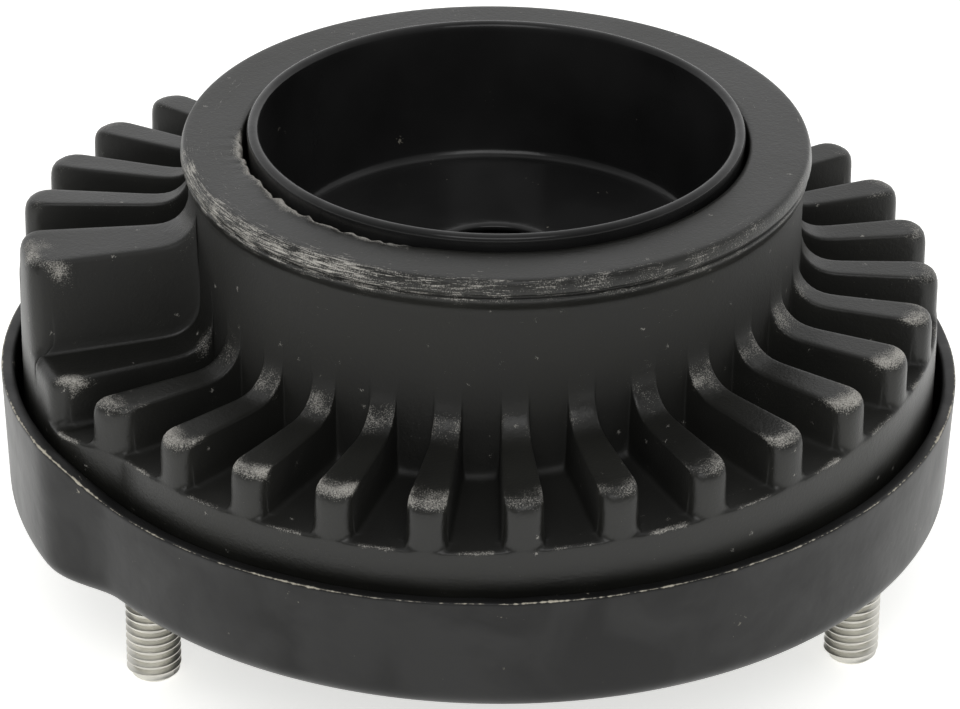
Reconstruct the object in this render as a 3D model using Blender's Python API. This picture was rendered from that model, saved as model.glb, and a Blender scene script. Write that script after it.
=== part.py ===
"""Strut mount with a ribbed rubber spring seat, for Blender 4.5.

The mount stands upside down on its three stud tips, with the strut's axis upright.
Lengths are in metres, +Z is up, and the box of the whole mount is centred on X and Y.
The azimuth of a point is its angle about the strut's axis, counterclockwise from +X.
"""
import math

import bmesh
import bpy
from mathutils import Matrix, Vector

MM = 0.001

# Clearance between pieces that touch
CLEAR = 0.3 * MM

# Housing pan, a pressed steel sheet with a flat bottom, an upturned skirt and one lobe
PAN_SHEET = 2.1 * MM
PAN_RIM_RADIUS = 68.4 * MM
PAN_DRAFT = 0.7 * MM
PAN_HEIGHT = 18.2 * MM
PAN_CORNER = 3.5 * MM
PAN_OPENING_RADIUS = 22.0 * MM
RIM_SLOPE = 0.019
LOBE_START_AZIMUTH = 118.0
LOBE_FULL_AZIMUTH = 192.0
LOBE_SHOULDER_AZIMUTH = 206.5
LOBE_END_AZIMUTH = 217.0
LOBE_STEP = 4.4 * MM
LOBE_RIM_RISE = 5.2 * MM
RISE_START_AZIMUTH = 140.0
RISE_FULL_AZIMUTH = 172.0
PAN_STEPS = 96

# Studs, M8, pressed into the pan from inside
STUD_COUNT = 3
STUD_INSET = 9.4 * MM
STUD_FIRST_AZIMUTH = 213.8
STUD_RADIUS = 4.0 * MM
STUD_REACH = 15.6 * MM
STUD_TIP_CHAMFER = 1.0 * MM
STUD_NECK_RADIUS = 4.4 * MM
STUD_HEAD_RADIUS = 5.5 * MM
STUD_HEAD_HEIGHT = 2.8 * MM
STUD_STEPS = 20

# Bump stop cup, deep drawn
CUP_WALL = 1.9 * MM
CUP_BORE_RADIUS = 34.3 * MM
CUP_DEPTH = 21.4 * MM
CUP_CORNER = 3.5 * MM
CUP_HOLE_RADIUS = 9.8 * MM
CUP_STANDS_PROUD = 2.0 * MM
CUP_STEPS = 72

# Spring seat, one rubber moulding: collar, disc, ribs and stop block
COLLAR_HEIGHT = 55.9 * MM
COLLAR_TOP_RADIUS = 45.0 * MM
COLLAR_LIP_RADIUS = 45.8 * MM
COLLAR_LIP_HEIGHT = 2.3 * MM
COLLAR_UNDERCUT_HEIGHT = 4.4 * MM
COLLAR_RADIUS = 44.7 * MM
SEAT_GAP = 1.1 * MM
SEAT_BOTTOM_CHAMFER = 2.0 * MM
RIB_COUNT = 30
RIB_FIRST_AZIMUTH = 201.8
RIB_TOP_HALF_ANGLE = 2.52
RIB_FOOT_HALF_ANGLE = 2.72
RIB_HEIGHT = 7.2 * MM
RIB_EDGE = 1.8 * MM
FLOOR_EDGE = 0.5 * MM
RIB_ROOT_RADIUS = 5.0 * MM
GAP_ROOT_RADIUS = 3.0 * MM
SEAT_LOW_HEIGHT = 30.6 * MM
BLOCK_HEIGHT = 44.2 * MM
BLOCK_FRONT_ANGLE = 7.0
BLOCK_FOOT_ANGLE = 8.9
LEDGE_FRONT_ANGLE = 4.0

# Rise of the rib tops along the wire's path, as (angle past the ledge, height)
SEAT_RISE = (
    (0.0, 0.0 * MM),
    (62.0, 0.6 * MM),
    (134.0, 5.1 * MM),
    (194.0, 5.7 * MM),
    (300.0, 11.0 * MM),
    (348.0, 14.2 * MM),
)

# Bush housing, a drawn can that stands on the pan's floor and carries the cup
CAN_RADIUS = 29.0 * MM
CAN_WALL = 2.0 * MM
CAN_FLANGE_RADIUS = 34.0 * MM
CAN_MOUTH_RADIUS = 16.0 * MM
CAN_CORNER = 1.5 * MM
CAN_STEPS = 48

# Rod core, a steel hub with a flange, bonded into the rubber bush
CORE_HUB_RADIUS = 10.5 * MM
CORE_BORE_RADIUS = 6.2 * MM
CORE_FLANGE_RADIUS = 20.0 * MM
CORE_FLANGE_THICKNESS = 3.0 * MM
CORE_INSET = 2.0 * MM
CORE_CHAMFER = 0.8 * MM
CORE_STEPS = 36
BUSH_RECESS_DEPTH = 4.5 * MM
BUSH_RECESS_RADIUS = 17.0 * MM
BUSH_RECESS_SLOPE = 2.0 * MM
BUSH_STEPS = 48

# Levels that the pieces share
PAN_UNDERSIDE = STUD_REACH
PAN_FLOOR = PAN_UNDERSIDE + PAN_SHEET
PAN_RIM = PAN_UNDERSIDE + PAN_HEIGHT
COLLAR_TOP = PAN_UNDERSIDE + COLLAR_HEIGHT
SEAT_LOW = PAN_UNDERSIDE + SEAT_LOW_HEIGHT
BLOCK_TOP = PAN_UNDERSIDE + BLOCK_HEIGHT
REST_LEVEL = PAN_FLOOR + CLEAR
CUP_RIM = COLLAR_TOP + CUP_STANDS_PROUD
CUP_FLOOR = CUP_RIM - CUP_DEPTH
CUP_UNDERSIDE = CUP_FLOOR - CUP_WALL
CAN_TOP = CUP_UNDERSIDE - CLEAR
SEAT_RADIUS = PAN_RIM_RADIUS - PAN_SHEET - SEAT_GAP
STUD_CIRCLE = PAN_RIM_RADIUS - STUD_INSET
RIB_PITCH = 360.0 / RIB_COUNT


def clear_scene():
    """Remove the objects that a new file starts with."""
    for item in list(bpy.data.objects):
        bpy.data.objects.remove(item, do_unlink=True)


def make_material(name, colour, roughness, metallic):
    """Return a plain Principled material."""
    material = bpy.data.materials.new(name)
    material.use_nodes = True
    shader = material.node_tree.nodes["Principled BSDF"]
    shader.inputs["Base Color"].default_value = (*colour, 1.0)
    shader.inputs["Roughness"].default_value = roughness
    shader.inputs["Metallic"].default_value = metallic
    return material


def make_object(name, shape, material, axis):
    """Turn a bmesh into a named object that hangs on the strut's axis."""
    bmesh.ops.recalc_face_normals(shape, faces=shape.faces[:])
    mesh = bpy.data.meshes.new(name)
    shape.to_mesh(mesh)
    shape.free()
    mesh.materials.append(material)
    mesh.shade_smooth()
    mesh.set_sharp_from_angle(angle=math.radians(30))
    item = bpy.data.objects.new(name, mesh)
    bpy.context.collection.objects.link(item)
    item.parent = axis
    return item


def arc(centre, radius, start, end, segments):
    """Return points (r, z) along an arc, from the start angle to the end angle in degrees."""
    points = []
    for step in range(segments + 1):
        angle = math.radians(start + (end - start) * step / segments)
        points.append((centre[0] + radius * math.cos(angle), centre[1] + radius * math.sin(angle)))
    return points


def turned(profile, steps):
    """Spin a closed profile of (r, z) points round the strut's axis."""
    shape = bmesh.new()
    corners = [shape.verts.new((radius, 0.0, height)) for radius, height in profile]
    edges = [shape.edges.new((corners[i - 1], corners[i])) for i in range(len(corners))]
    bmesh.ops.spin(shape, geom=corners + edges, cent=(0, 0, 0), axis=(0, 0, 1),
                   angle=math.tau, steps=steps, use_merge=True, use_duplicate=False)
    bmesh.ops.remove_doubles(shape, verts=shape.verts[:], dist=0.001 * MM)
    return shape


def lobe_share(azimuth, start=LOBE_START_AZIMUTH, full=LOBE_FULL_AZIMUTH):
    """Return how much of the lobe there is at an azimuth in radians, from 0 to 1.

    The lobe grows slowly along the spring's last turn and ends in a short shoulder.
    """
    turn = math.degrees(azimuth) % 360.0
    if turn < full:
        share = (turn - start) / (full - start)
    else:
        share = (LOBE_END_AZIMUTH - turn) / (LOBE_END_AZIMUTH - LOBE_SHOULDER_AZIMUTH)
    share = min(max(share, 0.0), 1.0)
    return share * share * (3.0 - 2.0 * share)


def axis_offset():
    """Return the strut axis's X, which centres the lobed pan on the origin."""
    reaches = []
    for step in range(PAN_STEPS):
        azimuth = math.tau * step / PAN_STEPS
        reach = PAN_RIM_RADIUS + LOBE_STEP * lobe_share(azimuth)
        reaches.append(reach * math.cos(azimuth))
    return -(min(reaches) + max(reaches)) / 2


def add_lobe(shape):
    """Stretch the outer part of a turned pan into the lobe, and raise the skirt there."""
    wall_foot = PAN_UNDERSIDE + PAN_CORNER
    flat_radius = PAN_RIM_RADIUS - PAN_DRAFT - PAN_CORNER
    for corner in shape.verts:
        radius = math.hypot(corner.co.x, corner.co.y)
        azimuth = math.atan2(corner.co.y, corner.co.x)
        lobe = lobe_share(azimuth)
        rise = LOBE_RIM_RISE * lobe_share(azimuth, RISE_START_AZIMUTH, RISE_FULL_AZIMUTH)
        spread = (radius - PAN_OPENING_RADIUS) / (flat_radius - PAN_OPENING_RADIUS)
        stretch = 1.0 + min(max(spread, 0.0), 1.0) * LOBE_STEP * lobe / radius
        corner.co.x *= stretch
        corner.co.y *= stretch
        share = max(corner.co.z - wall_foot, 0.0) / (PAN_RIM - wall_foot)
        corner.co.z += share * (rise + RIM_SLOPE * corner.co.x)


def pan_profile():
    """Return the section of the pan's sheet, outside first."""
    low_radius = PAN_RIM_RADIUS - PAN_DRAFT
    bend = (low_radius - PAN_CORNER, PAN_UNDERSIDE + PAN_CORNER)
    edge = PAN_SHEET / 4
    outside = [(PAN_OPENING_RADIUS, PAN_UNDERSIDE)]
    outside += arc(bend, PAN_CORNER, -90, 0, 4)
    outside += [(PAN_RIM_RADIUS, PAN_RIM - edge), (PAN_RIM_RADIUS - edge, PAN_RIM)]
    inside = [(PAN_RIM_RADIUS - PAN_SHEET, PAN_RIM)]
    inside += arc(bend, PAN_CORNER - PAN_SHEET, 0, -90, 2)
    inside += [(PAN_OPENING_RADIUS, PAN_FLOOR)]
    return outside + inside


def stud_azimuths():
    """Return the studs' azimuths in radians."""
    turn = 360.0 / STUD_COUNT
    return [math.radians(STUD_FIRST_AZIMUTH + index * turn) for index in range(STUD_COUNT)]


def stud_place(azimuth, height):
    """Return the place of a stud's axis, about the strut's axis."""
    return (STUD_CIRCLE * math.cos(azimuth), STUD_CIRCLE * math.sin(azimuth), height)


def make_cutter(name, shape, axis):
    """Return a hidden object that a Boolean cuts with."""
    bmesh.ops.recalc_face_normals(shape, faces=shape.faces[:])
    mesh = bpy.data.meshes.new(name)
    shape.to_mesh(mesh)
    shape.free()
    cutter = bpy.data.objects.new(name, mesh)
    bpy.context.collection.objects.link(cutter)
    cutter.parent = axis
    cutter.hide_render = True
    cutter.display_type = "WIRE"
    return cutter


def cut(item, cutter):
    """Cut one object with another."""
    boolean = item.modifiers.new(cutter.name, "BOOLEAN")
    boolean.operation = "DIFFERENCE"
    boolean.solver = "EXACT"
    boolean.object = cutter


def make_pan(material, axis):
    """Press the pan and pierce its stud holes."""
    shape = turned(pan_profile(), PAN_STEPS)
    add_lobe(shape)
    pan = make_object("housing_pan", shape, material, axis)
    for index, azimuth in enumerate(stud_azimuths(), start=1):
        hole = bmesh.new()
        bmesh.ops.create_cone(hole, cap_ends=True, segments=STUD_STEPS,
                              radius1=STUD_NECK_RADIUS + CLEAR, radius2=STUD_NECK_RADIUS + CLEAR,
                              depth=PAN_SHEET * 3)
        place = stud_place(azimuth, PAN_UNDERSIDE + PAN_SHEET / 2)
        bmesh.ops.translate(hole, verts=hole.verts[:], vec=place)
        cut(pan, make_cutter(f"stud_hole_{index}", hole, axis))
    return pan


def make_stud(index, azimuth, material, axis):
    """Turn one stud, tip down, with its head inside the pan."""
    head_foot = REST_LEVEL
    head_top = head_foot + STUD_HEAD_HEIGHT
    dome = STUD_HEAD_HEIGHT / 3
    profile = [
        (STUD_RADIUS - STUD_TIP_CHAMFER, 0.0),
        (STUD_RADIUS, STUD_TIP_CHAMFER),
        (STUD_RADIUS, PAN_UNDERSIDE - CLEAR),
        (STUD_NECK_RADIUS, PAN_UNDERSIDE),
        (STUD_NECK_RADIUS, head_foot),
        (STUD_HEAD_RADIUS, head_foot),
        (STUD_HEAD_RADIUS, head_top - dome),
        (STUD_HEAD_RADIUS - dome, head_top),
    ]
    shape = bmesh.new()
    corners = [shape.verts.new((radius, 0.0, height)) for radius, height in profile]
    edges = [shape.edges.new((corners[i], corners[i + 1])) for i in range(len(corners) - 1)]
    bmesh.ops.spin(shape, geom=corners + edges, cent=(0, 0, 0), axis=(0, 0, 1),
                   angle=math.tau, steps=STUD_STEPS, use_merge=True, use_duplicate=False)
    bmesh.ops.remove_doubles(shape, verts=shape.verts[:], dist=0.001 * MM)
    rims = [edge for edge in shape.edges if edge.is_boundary]
    bmesh.ops.holes_fill(shape, edges=rims, sides=STUD_STEPS)
    stud = make_object(f"stud_{index}", shape, material, axis)
    stud.location = stud_place(azimuth, 0.0)
    return stud


def cup_profile():
    """Return the section of the cup, from the hole outwards along the inside and back below."""
    bend = (CUP_BORE_RADIUS - CUP_CORNER, CUP_FLOOR + CUP_CORNER)
    lip = (CUP_BORE_RADIUS + CUP_WALL / 2, CUP_RIM - CUP_WALL / 2)
    inside = [(CUP_HOLE_RADIUS, CUP_FLOOR)]
    inside += arc(bend, CUP_CORNER, -90, 0, 3)
    inside += arc(lip, CUP_WALL / 2, 180, 0, 3)
    outside = arc(bend, CUP_CORNER + CUP_WALL, 0, -90, 3)
    outside += [(CUP_HOLE_RADIUS, CUP_UNDERSIDE)]
    return inside + outside


def can_profile():
    """Return the section of the bush housing: a flange below, a wall and a ring above."""
    inner = CAN_RADIUS - CAN_WALL
    flange_top = REST_LEVEL + CAN_WALL
    return [
        (CAN_FLANGE_RADIUS, REST_LEVEL),
        (CAN_FLANGE_RADIUS, flange_top),
        (CAN_RADIUS, flange_top),
        (CAN_RADIUS, CAN_TOP - CAN_CORNER),
        (CAN_RADIUS - CAN_CORNER, CAN_TOP),
        (CAN_MOUTH_RADIUS, CAN_TOP),
        (CAN_MOUTH_RADIUS, CAN_TOP - CAN_WALL),
        (inner, CAN_TOP - CAN_WALL),
        (inner, REST_LEVEL),
    ]


def core_levels():
    """Return the hub's foot and top and the flange's underside and top."""
    bush_top = CAN_TOP - CAN_WALL - CLEAR
    foot = REST_LEVEL + CORE_INSET
    top = bush_top - CORE_INSET / 2
    middle = (REST_LEVEL + bush_top) / 2
    half = CORE_FLANGE_THICKNESS / 2
    return foot, top, middle - half, middle + half


def core_profile():
    """Return the section of the rod core."""
    foot, top, flange_low, flange_high = core_levels()
    return [
        (CORE_BORE_RADIUS, foot),
        (CORE_HUB_RADIUS - CORE_CHAMFER, foot),
        (CORE_HUB_RADIUS, foot + CORE_CHAMFER),
        (CORE_HUB_RADIUS, flange_low),
        (CORE_FLANGE_RADIUS, flange_low),
        (CORE_FLANGE_RADIUS, flange_high),
        (CORE_HUB_RADIUS, flange_high),
        (CORE_HUB_RADIUS, top - CORE_CHAMFER),
        (CORE_HUB_RADIUS - CORE_CHAMFER, top),
        (CORE_BORE_RADIUS, top),
    ]


def bush_profile():
    """Return the section of the rubber bush, which takes the core in."""
    foot, top, flange_low, flange_high = core_levels()
    outer = CAN_RADIUS - CAN_WALL - CLEAR
    bush_top = CAN_TOP - CAN_WALL - CLEAR
    hub = CORE_HUB_RADIUS + CLEAR
    flange = CORE_FLANGE_RADIUS + CLEAR
    floor_low = REST_LEVEL + BUSH_RECESS_DEPTH
    floor_high = bush_top - BUSH_RECESS_DEPTH
    return [
        (outer, REST_LEVEL),
        (outer, bush_top),
        (BUSH_RECESS_RADIUS, bush_top),
        (BUSH_RECESS_RADIUS - BUSH_RECESS_SLOPE, floor_high),
        (hub, floor_high),
        (hub, flange_high + CLEAR),
        (flange, flange_high + CLEAR),
        (flange, flange_low - CLEAR),
        (hub, flange_low - CLEAR),
        (hub, floor_low),
        (BUSH_RECESS_RADIUS - BUSH_RECESS_SLOPE, floor_low),
        (BUSH_RECESS_RADIUS, REST_LEVEL),
    ]


def seat_rise(angle):
    """Return the rise of the rib tops at an angle past the ledge, in degrees."""
    for (start, low), (end, high) in zip(SEAT_RISE, SEAT_RISE[1:]):
        if angle <= end:
            return low + (high - low) * max(angle - start, 0.0) / (end - start)
    return SEAT_RISE[-1][1]


def seat_columns():
    """Return the columns of the seat's grid, as (angle, kind, top, floor).

    Each rib has five columns. The angle is in degrees past the ledge rib, and the kind is rib
    or gap. The ledge is the first rib, and the stop block is the last one, widened up to it.
    """
    columns = []
    offsets = (-RIB_PITCH / 2, -RIB_FOOT_HALF_ANGLE, -RIB_TOP_HALF_ANGLE,
               RIB_TOP_HALF_ANGLE, RIB_FOOT_HALF_ANGLE)
    kinds = ("gap", "gap", "rib", "rib", "gap")
    for rib in range(1, RIB_COUNT):
        for offset, kind in zip(offsets, kinds):
            angle = rib * RIB_PITCH + offset
            level = SEAT_LOW + seat_rise(angle)
            columns.append((angle, kind, level, level - RIB_HEIGHT))
    block = (RIB_COUNT - 1) * RIB_PITCH
    back_floor = SEAT_LOW + seat_rise(block) - RIB_HEIGHT
    low_floor = SEAT_LOW - RIB_HEIGHT
    foot = block + BLOCK_FOOT_ANGLE
    columns[-3] = (block - RIB_TOP_HALF_ANGLE, "rib", BLOCK_TOP, back_floor)
    columns[-2] = (block + BLOCK_FRONT_ANGLE, "rib", BLOCK_TOP, low_floor)
    columns[-1] = (foot, "rib", SEAT_LOW, low_floor)
    ledge_end = 360.0 + LEDGE_FRONT_ANGLE
    for share in (0.25, 0.5, 0.75, 1.0):
        columns.append((foot + share * (ledge_end - foot), "rib", SEAT_LOW, low_floor))
    ledge_foot = ledge_end + RIB_FOOT_HALF_ANGLE - RIB_TOP_HALF_ANGLE
    columns.append((ledge_foot, "gap", SEAT_LOW, low_floor))
    return columns


def seat_column(column, even_angle):
    """Return one column of the seat as (azimuth, r, z), from its foot up and over to its bore.

    Points on the ribs use the column's own angle, and the rest are evenly spread.
    """
    angle, kind, top, floor = column
    azimuth = math.radians(RIB_FIRST_AZIMUTH + angle)
    even = math.radians(RIB_FIRST_AZIMUTH + even_angle)
    edge = SEAT_RADIUS + LOBE_STEP * lobe_share(azimuth)
    even_edge = SEAT_RADIUS + LOBE_STEP * lobe_share(even)
    if kind == "rib":
        lip = (edge, top - RIB_EDGE)
        bend = (COLLAR_RADIUS + RIB_ROOT_RADIUS, top + RIB_ROOT_RADIUS)
        root = [(edge - RIB_EDGE, top)] + arc(bend, RIB_ROOT_RADIUS, 270, 180, 3)
    else:
        lip = (edge - FLOOR_EDGE, floor)
        bend = (COLLAR_RADIUS + GAP_ROOT_RADIUS, floor + GAP_ROOT_RADIUS)
        root = [(edge - RIB_EDGE, floor)] + arc(bend, GAP_ROOT_RADIUS, 270, 180, 3)
    rows = [(even, even_edge - SEAT_BOTTOM_CHAMFER, REST_LEVEL)]
    rows += [(even, even_edge, REST_LEVEL + SEAT_BOTTOM_CHAMFER)]
    for radius, height in [(edge, floor - FLOOR_EDGE), lip] + root:
        rows += [(azimuth, radius, height)]
    rows += [(even, radius, height) for radius, height in bore_profile()]
    return rows


def bore_profile():
    """Return the collar's outside from its undercut up, its top and the bore below it."""
    bend = (CUP_BORE_RADIUS - CUP_CORNER, CUP_FLOOR + CUP_CORNER)
    bore_bend = CUP_CORNER + CUP_WALL + CLEAR
    can = CAN_RADIUS + CLEAR
    flange = CAN_FLANGE_RADIUS + CLEAR
    flange_top = REST_LEVEL + CAN_WALL + CLEAR
    points = [
        (COLLAR_RADIUS, COLLAR_TOP - COLLAR_UNDERCUT_HEIGHT),
        (COLLAR_LIP_RADIUS, COLLAR_TOP - COLLAR_LIP_HEIGHT),
        (COLLAR_TOP_RADIUS, COLLAR_TOP),
        (bend[0] + bore_bend, COLLAR_TOP),
    ]
    points += arc(bend, bore_bend, 0, -90, 3)
    points += [(can, CUP_UNDERSIDE - CLEAR), (can, flange_top), (flange, flange_top)]
    points += [(flange, REST_LEVEL)]
    return points


def make_seat_shape():
    """Build the seat's grid: rings bridged one to the next, then bent into ribs and block."""
    columns = seat_columns()
    count = len(columns)
    first = columns[0][0]
    grid = []
    for index, column in enumerate(columns):
        grid.append(seat_column(column, first + 360.0 * index / count))
    shape = bmesh.new()
    rings = []
    for row in range(len(grid[0])):
        ring = []
        for column in grid:
            azimuth, radius, height = column[row]
            place = (radius * math.cos(azimuth), radius * math.sin(azimuth), height)
            ring.append(shape.verts.new(place))
        rings.append(ring)
    for lower, upper in zip(rings, rings[1:] + rings[:1]):
        for index in range(count):
            shape.faces.new((lower[index - 1], lower[index], upper[index], upper[index - 1]))
    return shape


def head_pocket(azimuth):
    """Return a slot for a stud's head, open to the seat's outside."""
    radius = STUD_HEAD_RADIUS + CLEAR
    outlet = SEAT_RADIUS + LOBE_STEP
    shape = bmesh.new()
    half_round = arc((STUD_CIRCLE, 0.0), radius, 90, 270, 10)
    outline = half_round + [(outlet, -radius), (outlet, radius)]
    corners = [shape.verts.new((x, y, 0.0)) for x, y in outline]
    face = shape.faces.new(corners)
    depth = STUD_HEAD_HEIGHT + CLEAR + PAN_SHEET
    extruded = bmesh.ops.extrude_face_region(shape, geom=[face])
    raised = [item for item in extruded["geom"] if isinstance(item, bmesh.types.BMVert)]
    bmesh.ops.translate(shape, verts=raised, vec=(0, 0, depth))
    bmesh.ops.translate(shape, verts=shape.verts[:], vec=(0, 0, REST_LEVEL - PAN_SHEET))
    turn = Matrix.Rotation(azimuth, 3, "Z")
    bmesh.ops.rotate(shape, verts=shape.verts[:], cent=Vector(), matrix=turn)
    return shape


def make_seat(material, axis):
    """Mould the spring seat with its pockets for the stud heads."""
    seat = make_object("spring_seat", make_seat_shape(), material, axis)
    for index, azimuth in enumerate(stud_azimuths(), start=1):
        cut(seat, make_cutter(f"head_pocket_{index}", head_pocket(azimuth), axis))
    return seat


def main():
    clear_scene()
    coated_steel = make_material("black_coated_steel", (0.012, 0.012, 0.013), 0.35, 0.0)
    drawn_steel = make_material("black_drawn_steel", (0.010, 0.010, 0.011), 0.25, 0.0)
    rubber = make_material("moulded_rubber", (0.022, 0.022, 0.022), 0.65, 0.0)
    zinc = make_material("zinc_plated_steel", (0.55, 0.54, 0.52), 0.35, 1.0)
    bare_steel = make_material("phosphated_steel", (0.10, 0.10, 0.10), 0.5, 1.0)
    axis = bpy.data.objects.new("strut_axis", None)
    bpy.context.collection.objects.link(axis)
    axis.location = (axis_offset(), 0.0, 0.0)
    make_pan(coated_steel, axis)
    make_seat(rubber, axis)
    make_object("bump_stop_cup", turned(cup_profile(), CUP_STEPS), drawn_steel, axis)
    make_object("bush_housing", turned(can_profile(), CAN_STEPS), coated_steel, axis)
    make_object("inner_bush", turned(bush_profile(), BUSH_STEPS), rubber, axis)
    make_object("rod_core", turned(core_profile(), CORE_STEPS), bare_steel, axis)
    for index, azimuth in enumerate(stud_azimuths(), start=1):
        make_stud(index, azimuth, zinc, axis)


main()
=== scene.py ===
"""Strut mount: the visual model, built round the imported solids.

The mount stands upside down on its three studs. Lengths are in metres and +Z is up.
A section is a list of (radius, height) points round the strut's axis, and an azimuth is an
angle about that axis, counterclockwise from +X.
"""

import math
from collections import namedtuple

import bmesh
import bpy
from bpy.props import FloatProperty, FloatVectorProperty, IntProperty, PointerProperty
from mathutils import Matrix, Vector, noise


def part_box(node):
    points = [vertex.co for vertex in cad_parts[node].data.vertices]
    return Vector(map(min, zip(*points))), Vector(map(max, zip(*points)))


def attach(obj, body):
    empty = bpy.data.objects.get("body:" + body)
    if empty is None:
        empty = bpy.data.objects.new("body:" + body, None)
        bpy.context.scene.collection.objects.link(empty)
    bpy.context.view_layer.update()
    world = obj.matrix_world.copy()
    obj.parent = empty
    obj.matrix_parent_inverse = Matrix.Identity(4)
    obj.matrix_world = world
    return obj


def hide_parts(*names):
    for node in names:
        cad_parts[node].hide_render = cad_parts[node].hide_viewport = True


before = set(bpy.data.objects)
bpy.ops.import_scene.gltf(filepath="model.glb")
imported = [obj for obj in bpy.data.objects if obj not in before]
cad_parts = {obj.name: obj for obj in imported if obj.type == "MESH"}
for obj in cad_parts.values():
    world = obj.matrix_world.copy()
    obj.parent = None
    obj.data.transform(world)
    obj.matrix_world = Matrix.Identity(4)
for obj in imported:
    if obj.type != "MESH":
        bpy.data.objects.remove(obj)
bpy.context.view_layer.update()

bl_info = {
    "name": "Strut mount",
    "version": (1, 0, 0),
    "blender": (4, 5, 0),
    "location": "3D View > Sidebar > Strut mount",
    "description": "Rubber and steel strut mount with a ribbed spring seat",
    "category": "Object",
}

MM = 0.001

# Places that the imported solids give
CUP_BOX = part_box("bump_stop_cup")
CAN_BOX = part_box("bush_housing")
CORE_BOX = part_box("rod_core")
SEAT_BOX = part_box("spring_seat")
AXIS = Vector(((CUP_BOX[0].x + CUP_BOX[1].x) / 2, 0.0, 0.0))
PAN_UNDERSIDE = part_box("housing_pan")[0].z
REST_LEVEL = SEAT_BOX[0].z
COLLAR_TOP = SEAT_BOX[1].z


def length(name, description, millimetres):
    """Return a property for a length, with its default in millimetres."""
    return FloatProperty(name=name, description=description, default=millimetres * MM,
                         min=0.0, unit="LENGTH", precision=5)


def angle(name, description, degrees):
    """Return a property for an angle, with its default in degrees."""
    return FloatProperty(name=name, description=description, default=math.radians(degrees),
                         unit="ROTATION")


def amount(name, description, default, subtype="NONE"):
    """Return a property for a power or a brightness."""
    return FloatProperty(name=name, description=description, default=default, min=0.0,
                         subtype=subtype)


def steps_round(thing, default):
    """Return a property for how many segments go round a thing."""
    return IntProperty(name="Steps", description=f"Segments round the {thing}",
                       default=default, min=12)


def colour(name, description, code):
    """Return a property for a colour, with its default as an sRGB hex code."""
    return FloatVectorProperty(name=name, description=description, default=linear(code),
                               min=0.0, max=1.0, size=3, subtype="COLOR")


def linear(code):
    """Turn an sRGB hex code into linear red, green and blue."""
    channels = []
    for place in (1, 3, 5):
        value = int(code[place:place + 2], 16) / 255.0
        channels.append(value / 12.92 if value <= 0.04045 else ((value + 0.055) / 1.055) ** 2.4)
    return tuple(channels)


class PanSizes(bpy.types.PropertyGroup):
    """Sizes of the pressed housing pan."""
    sheet: length("Sheet", "Thickness of the pressed sheet", 2.1)
    rim_radius: length("Rim radius", "Outer radius of the skirt at its rim", 68.4)
    draft: length("Draft", "How much the skirt narrows down to the flat", 0.7)
    height: length("Height", "Height of the skirt above the underside", 18.2)
    corner: length("Corner", "Outside radius of the bend between flat and skirt", 3.5)
    opening: length("Opening", "Radius of the opening in the flat", 22.0)
    lobe_step: length("Lobe step", "How far the lobe stands out from the skirt", 4.4)
    lobe_rise: length("Lobe rise", "How much higher the rim is on the lobe", 5.2)
    edge: length("Edge", "Width of the broken edge round the opening", 0.35)
    ragged: length("Ragged edge", "How uneven the sheared rim is", 0.16)
    steps: steps_round("pan", 240)


class SeatSizes(bpy.types.PropertyGroup):
    """Sizes of the moulded rubber spring seat."""
    gap: length("Gap", "Space between the disc and the pan's skirt", 1.1)
    collar_radius: length("Collar radius", "Radius of the collar's wall", 44.7)
    lip_radius: length("Lip radius", "Radius of the lip under the collar's top", 45.8)
    collar_bore: length("Collar bore", "Radius of the collar's bore round the cup", 36.5)
    rib_height: length("Rib height", "Height of a rib above the gap's floor", 7.2)
    low_height: length("Ledge height", "Height of the ledge above the underside", 30.6)
    block_height: length("Block height", "Height of the stop block above the underside", 44.2)
    rib_top: angle("Rib top", "Half angle of a rib's top", 2.52)
    rib_foot: angle("Rib foot", "Half angle of a rib's foot", 2.62)
    rib_root: length("Rib root", "Radius where a rib's top sweeps up to the collar", 5.0)
    gap_root: length("Gap root", "Radius where a gap's floor sweeps up to the collar", 1.4)
    rib_lip: length("Rib end edge", "Radius of the worn edge at a rib's outer end", 1.6)
    ledge_corner: length("Ledge corner", "Radius of the ledge's front corner", 2.6)
    back_corner: length("Back corner", "Radius of the stop block's back corner", 2.0)
    block_corner: length("Block corner", "Radius of the stop block's front corner", 3.2)
    block_front: angle("Block front", "Angle of the stop block's front edge", 7.0)
    block_foot: angle("Block foot", "Angle of the stop block's front foot", 8.9)
    ledge_front: angle("Ledge front", "Angle of the ledge's front edge", 4.0)


class CupSizes(bpy.types.PropertyGroup):
    """Sizes of the drawn bump stop cup."""
    wall: length("Wall", "Thickness of the drawn wall", 1.9)
    bore_radius: length("Bore radius", "Inside radius of the cup", 34.3)
    stand: length("Stand", "Height of the cup's rim above the collar", 2.0)
    depth: length("Depth", "Depth from the rim to the floor", 21.4)
    corner: length("Corner", "Inside radius between wall and floor", 1.6)
    taper: length("Taper", "How much the wall narrows down to the floor", 1.5)
    hole_radius: length("Hole radius", "Radius of the hole for the rod", 9.4)
    edge: length("Edge", "Width of the broken edge round the hole", 0.4)
    steps: steps_round("cup", 192)


class StudSizes(bpy.types.PropertyGroup):
    """Sizes of the three M8 studs."""
    radius: length("Radius", "Outer radius of the thread", 4.0)
    pitch: length("Pitch", "Rise of the thread in one turn", 1.25)
    depth: length("Thread depth", "Depth of the thread's groove", 0.68)
    chamfer: length("Tip chamfer", "Chamfer at the stud's tip", 1.0)
    neck: length("Neck radius", "Radius of the part pressed into the pan", 4.4)
    head: length("Head radius", "Radius of the head inside the pan", 5.5)
    head_height: length("Head height", "Height of the head", 2.8)
    head_edge: length("Head edge", "Chamfer of the head's upper edge", 0.8)
    seam: length("Seam", "How far the thread ends below the pan", 0.3)
    steps: steps_round("studs", 32)


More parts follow.
